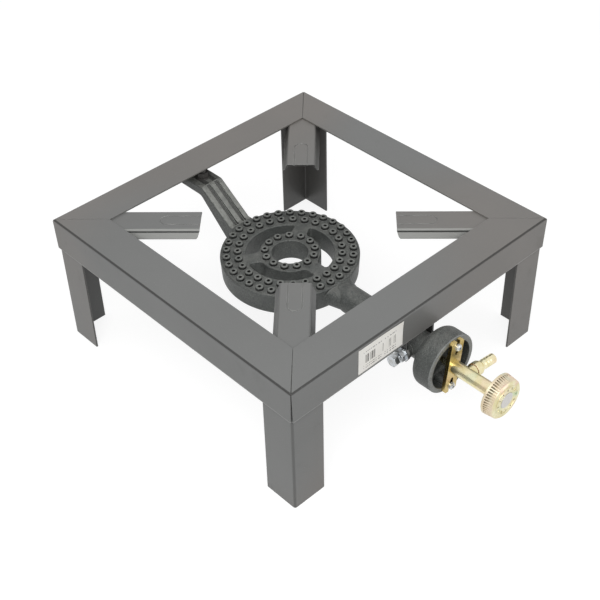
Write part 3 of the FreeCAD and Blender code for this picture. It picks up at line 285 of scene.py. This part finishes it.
def sand_casting(name):
    """Grey iron as it comes from the sand mould: pebbled skin and pits; upward faces lighter as dust and
    painted light; painted highlights on upward edges, on the arm's upward faces, on the nipples' top
    faces and as bright specks on the sand; painted shade in the arm's grooves and on the sides of the
    flame nipples."""
    made = new_finish(name)
    spot = made.spot()
    pebbles = made.node("ShaderNodeTexVoronoi", {"feature": "SMOOTH_F1"},
                        {"Vector": spot, "Scale": 720, "Smoothness": 0.5}, out="Distance")
    sand = made.noise(1300, 3, 0.6)
    swell = made.noise(120, 3, 0.55)
    pits = made.noise(420, 2, 0.5).steps(0.64, 0.75)
    height = (1 - pebbles) * 0.8 + sand * 0.4 + swell * 0.7 - pits * 0.5
    across, ahead, up = made.split(spot)
    facing_x, facing_y, facing_up = made.split(made.node("ShaderNodeNewGeometry", out="Normal"))
    upright = (facing_x * facing_x + facing_y * facing_y) ** 0.5
    colour = made.blend(made.noise(24, 3, 0.6).steps(0.3, 0.7), tone(80, 84, 82), tone(98, 101, 98))
    colour = made.blend(pebbles.steps(0.25, 0.6) * 0.5, colour, tone(50, 52, 50))
    # upward faces lighter: partly dust, partly painted light from above
    dust_and_top_light = facing_up.steps(0.6, 0.95) * swell.steps(0.3, 0.7)
    colour = made.blend(dust_and_top_light * 0.45, colour, tone(122, 122, 118))
    arm = ahead > RING_Y + RING_REACH
    ground = arm * facing_up.steps(0.3, 0.6)
    over_arm = up - ARM_FOOT_Z - (ahead - ARM_FOOT_Y) * ARM_RISE
    in_groove = (abs(across) < GROOVE_OUT) * (abs(across) > GROOVE_IN)
    groove_shade = arm * (over_arm < -0.0011) * in_groove * (facing_up > 0.2)
    # painted highlight on the arm's upward faces, then painted shade in its grooves
    colour = made.blend(ground * (swell.steps(0.3, 0.7) * 0.35 + 0.4), colour, tone(150, 151, 146))
    colour = made.blend(groove_shade * 0.7, colour, tone(36, 37, 35))
    rim = (ahead < MOUTH_Y + 0.0012) * (facing_y < -0.35)
    colour = made.blend(rim * (swell.steps(0.2, 0.7) * 0.3 + 0.2), colour, tone(160, 162, 160))
    # painted glints: small bright specks on the sand grains
    grain_glints = made.noise(1050, 2, 0.6).steps(0.6, 0.68)
    colour = made.blend(grain_glints * 0.3, colour, tone(176, 178, 174))
    nipples = (up > RING_TOP + 0.0001) * (up < RING_TOP + NIPPLE_HEIGHT + 0.0002)
    from_ring = ahead - RING_Y
    nipples = nipples * ((across * across + from_ring * from_ring) < NIPPLE_REACH ** 2)
    # painted shade: the upright sides of the flame nipples made nearly black
    colour = made.blend(nipples * upright.steps(0.5, 0.9) * 0.95, colour, tone(20, 21, 20))
    # painted light: the nipple top faces lighter
    lit_tops = (up > RING_TOP + NIPPLE_HEIGHT - 0.0004) * (abs(from_ring) < RING_REACH) * facing_up
    colour = made.blend((lit_tops * 0.4).held(), colour, tone(132, 135, 131))
    colour = made.blend(pits * 0.6, colour, tone(38, 39, 37))
    near_edge, rounded = made.edges(0.0012)
    # painted highlight along upward facing edges, stronger on the arm
    shine = near_edge * facing_up.steps(-0.2, 0.5) * (swell.steps(0.3, 0.6) * 0.4 + 0.4)
    shine = shine * (arm * 0.5 + 1)
    colour = made.blend(shine.held(), colour, tone(168, 169, 164))
    normal = made.bump(height, 0.75, 0.0008, rounded)
    return made.skin(Base_Color=colour, Roughness=0.46 + (1 - pebbles) * 0.05 + pits * 0.2,
                     Metallic=0.25, Normal=normal, IOR=1.6)


def yellow_plate(name, iridescence=0.35, rough=0.24, shade=(1.0, 1.0, 1.0), fluted=False):
    """Yellow passivated brass: straw base, drifting green and pink films, fine turning marks.  shade
    tints it.  A fluted knob has pink lands, flutes darkened as painted shade and dark ticks on its face."""
    made = new_finish(name)
    film = made.noise(95, 2, 0.6)
    drift = made.noise(55, 2, 0.5)
    colour = made.blend(film.steps(0.35, 0.65), tone(238, 229, 192), tone(224, 212, 164))
    colour = made.blend(drift.steps(0.52, 0.68) * iridescence, colour, tone(232, 196, 178))
    colour = made.blend((1 - drift).steps(0.54, 0.7) * iridescence, colour, tone(202, 218, 186))
    near_edge, rounded = made.edges(0.0004)
    colour = made.blend(near_edge * 0.4, colour, tone(248, 243, 222))
    grime = made.noise(260, 4, 0.65).steps(0.58, 0.78)
    colour = made.blend(grime * 0.35, colour, tone(122, 104, 62))
    if fluted:
        across, ahead, up = made.split(made.spot())
        up = up - AXIS_Z
        reach = (across * across + up * up) ** 0.5
        land = KNOB_RADIUS - (KNOB_BACK - ahead) * KNOB_TAPER
        between_faces = (ahead < KNOB_BACK - 0.0004) * (ahead > KNOB_FACE + 0.0012)
        side = (reach > KNOB_RADIUS - 0.0023) * between_faces
        colour = made.blend(side * 0.5, colour, tone(228, 200, 180))
        ticks = (ahead < KNOB_FACE - 0.0003) * (reach < TICK_RING)
        # painted shade in the flutes; the raised ring and ticks on the face also darkened
        dark = side * (reach < land - 0.00065) + ticks
        colour = made.blend(dark.held() * 0.7, colour, tone(92, 80, 58))
    colour = made.blend(1.0, colour, shade, "MULTIPLY")
    turning = made.noise(2600, 1, 0.5)
    normal = made.bump(turning, 0.12, 0.0001, rounded)
    return made.skin(Base_Color=colour, Metallic=1.0, Roughness=rough + grime * 0.18 + film * 0.08,
                     Normal=normal)


def zinc_plate(name):
    """Bright zinc: bluish silver with small spangles and handling dulls."""
    made = new_finish(name)
    dull = made.noise(220, 3, 0.6)
    colour = made.blend(dull.steps(0.4, 0.7), tone(206, 210, 214), tone(172, 172, 166))
    near_edge, rounded = made.edges(0.0003)
    colour = made.blend(near_edge * 0.5, colour, tone(240, 242, 244))
    normal = made.bump(made.noise(1800, 2, 0.5), 0.1, 0.0001, rounded)
    return made.skin(Base_Color=colour, Metallic=1.0, Roughness=0.24 + dull * 0.16, Normal=normal)


def black_rubber(name):
    made = new_finish(name)
    grain = made.noise(900, 2, 0.5)
    return made.skin(Base_Color=made.blend(grain, tone(30, 30, 30), tone(46, 45, 44)), Roughness=0.75,
                     Normal=made.bump(grain, 0.2, 0.0001))


def red_fibre(name):
    made = new_finish(name)
    felt = made.noise(1400, 3, 0.7)
    return made.skin(Base_Color=made.blend(felt, tone(122, 70, 48), tone(152, 96, 68)), Roughness=0.8,
                     Normal=made.bump(felt, 0.25, 0.0001))


def lilac_foil(name):
    """The knob's disc: brushed aluminium foil with a faint lilac cast."""
    made = new_finish(name)
    across, _, up = made.split(made.spot())
    drawn = made.node("ShaderNodeCombineXYZ", inputs={0: across * 60, 1: 0.0, 2: up * 3})
    streaks = made.noise(60, 3, 0.6, at=drawn)
    colour = made.blend(streaks.steps(0.35, 0.65), tone(216, 214, 208), tone(196, 193, 192))
    return made.skin(Base_Color=colour, Metallic=0.85, Roughness=0.3 + streaks * 0.15,
                     Normal=made.bump(streaks, 0.1, 0.0001))


def printed_paper(name):
    """Matt paper with a plain row of uneven bars, one row of small dashes over it and two under it,
    which stand for nothing, and soft handling marks."""
    made = new_finish(name)
    across, _, up = made.split(made.spot())

    def chance(per_metre):
        """A number from 0 to 1 for each strip of the label, so many strips to a metre."""
        return made.node("ShaderNodeTexWhiteNoise", {"noise_dimensions": "1D"},
                         {"W": (across * per_metre).math("FLOOR")}, out="Value")

    def row(low, high):
        return (up > low) * (up < high)

    bars = row(0.1455, 0.1565) * (chance(1500) > 0.5) * (chance(290) > 0.3)
    dashes = (row(0.1602, 0.1614) + row(0.1418, 0.1428) + row(0.1385, 0.1399)) * (chance(820) > 0.45)
    inside = (across > LABEL_LEFT + 0.0075) * (across < LABEL_LEFT + 0.0555)
    fibre = made.noise(700, 3, 0.6)
    handled = made.noise(45, 2, 0.5).steps(0.35, 0.75) * 0.6
    colour = made.blend(handled, tone(250, 248, 243), tone(240, 237, 230))
    printed = (bars + dashes * 0.8) * inside
    colour = made.blend(printed * (fibre.steps(0.3, 0.45) * 0.2 + 0.7), colour, tone(60, 57, 54))
    return made.skin(Base_Color=colour, Roughness=0.62, Normal=made.bump(fibre, 0.15, 0.0001))


def weld_metal(name):
    """Weld under enamel: grey with sooty hollows and small bright spots."""
    made = new_finish(name)
    soot = made.noise(500, 4, 0.65)
    colour = made.blend(soot.steps(0.35, 0.65), tone(92, 90, 86), tone(54, 52, 50))
    colour = made.blend(made.noise(800, 1, 0.5).steps(0.66, 0.74) * 0.7, colour, tone(170, 160, 145))
    return made.skin(Base_Color=colour, Roughness=0.5, Metallic=0.2,
                     Normal=made.bump(soot, 0.4, 0.0003))


# Surfaces

def grid_faces(rows, columns):
    """Corner numbers of the quads of a grid whose last column joins its first."""
    row, column = np.meshgrid(np.arange(rows - 1), np.arange(columns), indexing="ij")
    after = (column + 1) % columns
    corners = [row * columns + column, row * columns + after,
               (row + 1) * columns + after, (row + 1) * columns + column]
    return np.stack(corners, axis=-1).reshape(-1, 4)


def piece(name, grids, finish, body="stand", stands_for=(), sharp=40):
    """One object from grids of points, each rows x columns x 3.  Rows that shrink to a point become
    poles; doubles are merged and faces turned outwards."""
    points, faces, count = [], [], 0
    for grid in grids:
        rows, columns = grid.shape[:2]
        points.append(grid.reshape(-1, 3))
        faces.append(grid_faces(rows, columns) + count)
        count += rows * columns
    points, faces = np.concatenate(points), np.concatenate(faces)
    mesh = bpy.data.meshes.new(name)
    mesh.vertices.add(len(points))
    mesh.vertices.foreach_set("co", points.astype(np.float32).ravel())
    mesh.loops.add(faces.size)
    mesh.loops.foreach_set("vertex_index", faces.astype(np.int32).ravel())
    mesh.polygons.add(len(faces))
    mesh.polygons.foreach_set("loop_start", np.arange(0, faces.size, 4, dtype=np.int32))
    mesh.update(calc_edges=True)
    work = bmesh.new()
    work.from_mesh(mesh)
    bmesh.ops.remove_doubles(work, verts=work.verts, dist=2e-6)
    bmesh.ops.dissolve_degenerate(work, edges=work.edges, dist=1e-7)
    bmesh.ops.recalc_face_normals(work, faces=work.faces)
    work.to_mesh(mesh)
    work.free()
    mesh.shade_smooth()
    mesh.set_sharp_from_angle(angle=math.radians(sharp))
    made = bpy.data.objects.new(name, mesh)
    bpy.context.scene.collection.objects.link(made)
    made.data.materials.append(finish)
    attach(made, body)
    if stands_for:
        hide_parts(*stands_for)
    return made


def turned_grid(radii, heights, base, axis, first, angles):
    """Points at base + height * axis + radius * (first * cos + second * sin), row by row.  radii is
    rows x columns, so a thread or a hexagon is a radius that changes round the axis."""
    axis, first = np.array(axis, float), np.array(first, float)
    second = np.cross(axis, first)
    ring = np.cos(angles)[:, None] * first + np.sin(angles)[:, None] * second
    return np.array(base) + heights[:, None, None] * axis + radii[:, :, None] * ring


def closed_ends(grid):
    """The same grid with a first and last row at the centre of each end."""
    ends = [np.broadcast_to(grid[end].mean(axis=0), grid[end].shape)[None] for end in (0, -1)]
    return np.concatenate([ends[0], grid, ends[1]])


ROUND = np.linspace(0, 2 * np.pi, 36, endpoint=False)


def threaded_rod(length, base, axis, first, radius=4 * MM, pitch=1.25 * MM, depth=0.62 * MM):
    """An M8 rod: the radius falls by depth * the triangle wave of (height / pitch - angle / turn), cut
    flat at root and crest, and is turned down to the root over one pitch at both ends."""
    heights = np.linspace(0, length, int(length / pitch * 8) + 1)
    phase = heights[:, None] / pitch - ROUND[None, :] / (2 * np.pi)
    wave = np.abs(2 * (phase - np.floor(phase)) - 1)
    wave = np.clip(wave * 1.35 - 0.12, 0, 1)
    lead = np.clip(np.minimum(heights, length - heights) / pitch, 0, 1)[:, None]
    radii = np.minimum(radius - depth * wave, radius - depth + depth * lead)
    return closed_ends(turned_grid(radii, heights, base, axis, first, ROUND))


def hexagon_head(height, base, axis, first, flats=13 * MM):
    """A hexagon head: radius = the smaller of flats / 2 / cos(angle from the nearest flat) and a cone
    that turns its corners off; a raised washer face below."""
    angles = np.linspace(0, 2 * np.pi, 72, endpoint=False)
    hexagon = flats / 2 / np.cos((angles % (np.pi / 3)) - np.pi / 6)
    rows = [(0.0, 0.47), (0.04, 0.47), (0.04, 100), (0.86, 0.5775), (0.95, 0.55), (1.0, 0.515),
            (1.0, 0.3)]
    heights = np.array([share * height for share, _ in rows])
    radii = np.minimum(hexagon[None, :], np.array([limit * flats for _, limit in rows])[:, None])
    return closed_ends(turned_grid(radii, heights, base, axis, first, angles))


def weld_bead(corner, run, first, second, length, size, seed, sweep=np.pi / 2):
    """A bead in the corner between two faces, or under a seam with a sweep of half a turn: at distance
    s along it, its round has the radius size * end taper * (1 - 0.16 * the sawtooth of s / 1.5 mm),
    with a little seeded unevenness."""
    chance = np.random.default_rng(seed)
    along = np.linspace(0, 1, 61)
    ripple = (along * length / (1.5 * MM) + chance.random()) % 1
    wander = np.interp(along, np.linspace(0, 1, 7), 1 - 0.1 * chance.random(7))
    taper = np.sqrt(np.clip(1 - np.abs(2 * along - 1) ** 6, 0, 1))
    radius = size * taper * wander * (1 - 0.16 * ripple)
    turn = np.linspace(0, sweep, 8)
    run, first, second = (np.array(item, float) for item in (run, first, second))
    arc = np.cos(turn)[:, None] * first + np.sin(turn)[:, None] * second
    line = np.array(corner) + (along * length)[:, None] * run
    outer = line[:, None, :] + radius[:, None, None] * arc[None]
    return np.concatenate([outer, line[:, None, :]], axis=1)


def quarter_turned(grid, quarter):
    """A grid drawn in the stand's front left corner, turned to another corner of the stand."""
    angle = math.pi / 2 * quarter
    cos, sin = math.cos(angle), math.sin(angle)
    turn = np.array([[cos, -sin, 0], [sin, cos, 0], [0, 0, 1]])
    centre = np.array([0, STAND_Y, 0])
    return (grid - centre) @ turn.T + centre


def leg_beads():
    """Two upright beads in each corner, along the free edges of the 43 mm wide leg."""
    edge = -SIDE + SHEET + 0.043
    beads = []
    for quarter in range(4):
        for index, (right, ahead) in enumerate(((edge, -SIDE + SHEET), (-SIDE + SHEET, edge))):
            bead = weld_bead((right, STAND_Y + ahead, 0.142), (0, 0, 1), (1, 0, 0), (0, 1, 0),
                             15 * MM, 2 * MM, 10 + quarter * 2 + index)
            beads.append(quarter_turned(bead, quarter))
    return beads


def finger_beads():
    """Two beads under the flange at each finger, along its sides."""
    beads = []
    for quarter in range(4):
        for index, sign in enumerate((1, -1)):
            start = CORNER + INWARD * 48 * MM + ASIDE * sign * FINGER_HALF
            bead = weld_bead(start, INWARD, ASIDE * sign, (0, 0, -1), 15 * MM, 3 * MM,
                             40 + quarter * 2 + index)
            beads.append(quarter_turned(bead, quarter))
    return beads


def mitre_beads():
    """The bead under each mitre: thin over the end of the leg, then full to 44 mm on the diagonal."""
    beads = []
    for quarter in range(4):
        for begin, size, length in ((1.2 * MM, 0.9 * MM, 8.5 * MM), (9 * MM, 1.6 * MM, 35 * MM)):
            bead = weld_bead(CORNER + INWARD * begin, INWARD, ASIDE, (0, 0, -1), length, size,
                             60 + quarter, np.pi)
            beads.append(quarter_turned(bead, quarter))
    return beads


def split_ring(centre, inner, outer, thick, gap):
    """A spring washer: a square section carried round from one side of a gap to the other, facing -Y
    and flat against the bracket but for its last half, which rises to 0.05 mm."""
    angles = np.linspace(gap, 2 * np.pi - gap, 60) + 0.9
    lift = np.linspace(-0.05, 0.05, 60) * MM
    section = np.array([(inner, 0), (outer, 0), (outer, thick), (inner, thick)])
    radius, depth = section[:, 0], section[:, 1]
    across = np.cos(angles)[:, None] * radius
    up = np.sin(angles)[:, None] * radius
    ahead = -(depth[None, :] + np.clip(lift, 0, 1)[:, None])
    grid = np.stack([across, ahead + 0 * across, up], axis=-1) + np.array(centre)
    return closed_ends(grid)


def label_sheet():
    """The label, with x and z from 0 to 1 over it: its stand-off in mm is
    0.22 + 0.07 sin(9x) cos(5z) + 0.9 (max(x + z - 1.3, 0) / 0.7) ** 3, so one corner curls.  Its back
    lies 0.1 mm behind its front."""
    across, up = np.linspace(0, 1, 60), np.linspace(0, 1, 24)
    right, high = np.meshgrid(across, up, indexing="ij")
    curl = 0.9 * (np.clip(right + high - 1.3, 0, 1) / 0.7) ** 3
    stand_off = (0.22 + 0.07 * np.sin(right * 9) * np.cos(high * 5) + curl) * MM
    front = np.stack([LABEL_LEFT + LABEL_WIDTH * right, STAND_Y - SIDE - stand_off,
                      LABEL_BOTTOM + LABEL_HEIGHT * high], axis=-1)
    back = front + np.array([0, 0.1 * MM, 0])
    grid = np.concatenate([front, back[:, ::-1]], axis=1)
    return closed_ends(grid)


def spatter():
    """Weld spatter: seeded drops, each a dome with radius r and height 0.6 r on the face under it."""
    chance = np.random.default_rng(7)
    drops = []
    polar, turn = np.linspace(0, np.pi / 2, 4), np.linspace(0, 2 * np.pi, 8, endpoint=False)
    upward = np.array([0, 0, 1])
    circle = np.cos(turn)[:, None] * INWARD + np.sin(turn)[:, None] * upward
    for quarter in range(4):
        for _ in range(9):
            size = 0.35 * MM + 0.5 * MM * chance.random() ** 2
            along = 0.044 + 0.026 * chance.random()
            out = -ASIDE if chance.random() < 0.5 else ASIDE
            drop = 0.003 + 0.006 * chance.random()
            out_by = FINGER_HALF + max(drop - FINGER_STRAIGHT, 0) * FINGER_SLOPE
            base = CORNER - drop * upward + INWARD * along + out * out_by
            dome = base + size * (np.sin(polar)[:, None, None] * circle[None]
                                  + np.cos(polar)[:, None, None] * out * 0.6)
            foot = np.broadcast_to(base, dome[:1].shape)
            drops.append(quarter_turned(np.concatenate([dome, foot]), quarter))
    return drops


# The camera, as the photograph was taken

def aim_camera():
    data = bpy.data.cameras.new("camera")
    data.lens, data.sensor_width, data.clip_start, data.clip_end = LENS, 36, 0.01, 50
    camera = bpy.data.objects.new("camera", data)
    bpy.context.scene.collection.objects.link(camera)
    back = (EYE - TARGET).normalized()
    level = Vector((0, 0, 1)).cross(back).normalized()
    cos, sin = math.cos(CAMERA_ROLL), math.sin(CAMERA_ROLL)
    right, up = level * cos + back.cross(level) * sin, back.cross(level) * cos - level * sin
    turn = Matrix((right, up, back)).transposed().to_4x4()
    camera.matrix_world = Matrix.Translation(EYE) @ turn
    bpy.context.scene.camera = camera


# Light, floor and background

def lamp(name, place, target, size, power):
    data = bpy.data.lights.new(name, "AREA")
    data.shape, data.size, data.energy = "DISK", size, power
    made = bpy.data.objects.new(name, data)
    bpy.context.scene.collection.objects.link(made)
    away = (Vector(target) - Vector(place)).normalized()
    made.matrix_world = Matrix.Translation(place) @ away.to_track_quat("-Z", "Y").to_matrix().to_4x4()


def seen_rays(finish):
    """1 for rays of the camera, of a mirror or through glass, else 0."""
    path = finish.node("ShaderNodeLightPath").socket.node
    camera, glossy, through = (Value(finish, path.outputs[name]) for name in (
        "Is Camera Ray", "Is Glossy Ray", "Is Transmission Ray"))
    return (camera + glossy + through).held()


def studio():
    """Two soft lamps over a white world and a white floor.  What lights the part is darker than what the
    camera sees: a world of strength 0.6 and a grey floor."""
    world = bpy.data.worlds.new("studio")
    bpy.context.scene.world = world
    sky = Finish(world)
    seen = seen_rays(sky)
    shader = sky.node("ShaderNodeBackground", inputs={"Color": (1, 1, 1), "Strength": seen * 0.4 + 0.6})
    sky.node("ShaderNodeOutputWorld", inputs={"Surface": shader})
    lamp("key", (-0.8, -0.62, 1.15), (0, 0.03, 0.1), 1.0, 10.5)
    lamp("fill", (0.5, -1.6, 1.1), (0, 0, 0.1), 1.2, 3.5)
    floor = new_finish("white_floor")
    seen = seen_rays(floor)
    bounce = floor.node("ShaderNodeBsdfDiffuse", inputs={"Color": (0.32, 0.32, 0.32)})
    lit = floor.node("ShaderNodeBsdfDiffuse", inputs={"Color": (0.25, 0.25, 0.25)})
    glow = floor.node("ShaderNodeEmission", inputs={"Color": (1, 1, 1), "Strength": 0.84})
    white = floor.node("ShaderNodeAddShader", inputs={0: lit, 1: glow})
    mixed = floor.node("ShaderNodeMixShader", inputs={0: seen, 1: bounce, 2: white})
    floor.node("ShaderNodeOutputMaterial", inputs={"Surface": mixed})
    mesh = bpy.data.meshes.new("floor")
    mesh.from_pydata([(-6, -6, 0), (6, -6, 0), (6, 6, 0), (-6, 6, 0)], [], [(0, 1, 2, 3)])
    ground = bpy.data.objects.new("floor", mesh)
    bpy.context.scene.collection.objects.link(ground)
    mesh.materials.append(floor.holder)


def paint(names, finish):
    """Puts a finish on every material slot of these CAD nodes."""
    for name in names:
        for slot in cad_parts[name].material_slots:
            slot.link = "OBJECT"
            slot.material = finish


CORNERS = ("front_left", "front_right", "rear_right", "rear_left")
bpy.context.scene.view_settings.view_transform = "Standard"
aim_camera()
studio()

rail_enamel = enamel("rail_enamel", fold_shade=0.85, hem_highlight=0.35)
leg_enamel = enamel("leg_enamel", corner=0.45, inner_face_shade=0.6)
finger_enamel = enamel("finger_enamel", edge_wear_and_highlight=0.8, fold_highlight=0.5, side_shade=0.85)
nut_enamel = enamel("nut_enamel", shade=0.4)
casting = sand_casting("sand_casting")
brass = yellow_plate("yellow_plate")
# a darker copy of the brass for the bracket: painted shade, as its face turns from the light
shaded_bracket_brass = yellow_plate("bracket_plate_shaded", shade=(0.66, 0.56, 0.36))
knob_brass = yellow_plate("knob_plate", iridescence=0.8, rough=0.34, shade=(0.93, 0.96, 1.0),
                          fluted=True)
zinc = zinc_plate("bright_zinc")
paint([f"rail_{side}" for side in ("front", "right", "rear", "left")], rail_enamel)
paint([f"leg_{corner}" for corner in CORNERS], leg_enamel)
paint([f"pot_finger_{corner}" for corner in CORNERS] + ["burner_hanger"], finger_enamel)
paint(["burner_casting"], casting)
paint(["valve_body", "injector", "hose_nozzle", "gland_nut", "valve_spindle", "valve_needle"], brass)
paint(["valve_bracket"], shaded_bracket_brass)
paint(["knob"], knob_brass)
paint(["rear_washers", "rear_nuts"], nut_enamel)
paint(["neck_washer", "neck_lock_nut", "valve_screws", "knob_screw"], zinc)
paint(["spindle_seal"], black_rubber("black_rubber"))
paint(["nozzle_washer"], red_fibre("red_fibre"))
paint(["knob_cap"], lilac_foil("lilac_foil"))

weld = weld_metal("weld_metal")
piece("leg_weld_beads", leg_beads(), weld, stands_for=["leg_welds"])
piece("finger_weld_beads", finger_beads(), weld, stands_for=["finger_welds"])
piece("mitre_weld_beads", mitre_beads(), weld, stands_for=["mitre_welds"])
piece("weld_spatter", spatter(), weld)
stud_foot = (0, STUD_Y, FLANGE_UNDER - 50 * MM)
piece("rear_stud_threaded", [threaded_rod(50 * MM, stud_foot, (0, 0, 1), (1, 0, 0))],
      nut_enamel, stands_for=["rear_stud"], sharp=180)
bolt_tip = (-12.5 * MM, NECK_BOLT_Y, AXIS_Z)
bolt_head = (-36 * MM, NECK_BOLT_Y, AXIS_Z)
piece("neck_bolt_threaded",
      [threaded_rod(23.7 * MM, bolt_tip, (-1, 0, 0), (0, 0, 1)),
       hexagon_head(6 * MM, bolt_head, (-1, 0, 0), (0, 0.5, math.sqrt(0.75)))],
      zinc, stands_for=["neck_bolt"], sharp=28)
screw_x, screw_z = 26 * MM * math.sin(VALVE_ROLL), 26 * MM * math.cos(VALVE_ROLL)
washer_places = [(sign * screw_x, MOUTH_Y - 4.5 * MM, AXIS_Z + sign * screw_z) for sign in (1, -1)]
piece("spring_washers",
      [split_ring(place, 2.25 * MM, 4.4 * MM, 0.85 * MM, 0.12) for place in washer_places],
      zinc, stands_for=["screw_washers"])
piece("label_sheet", [label_sheet()], printed_paper("printed_paper"), stands_for=["label"])
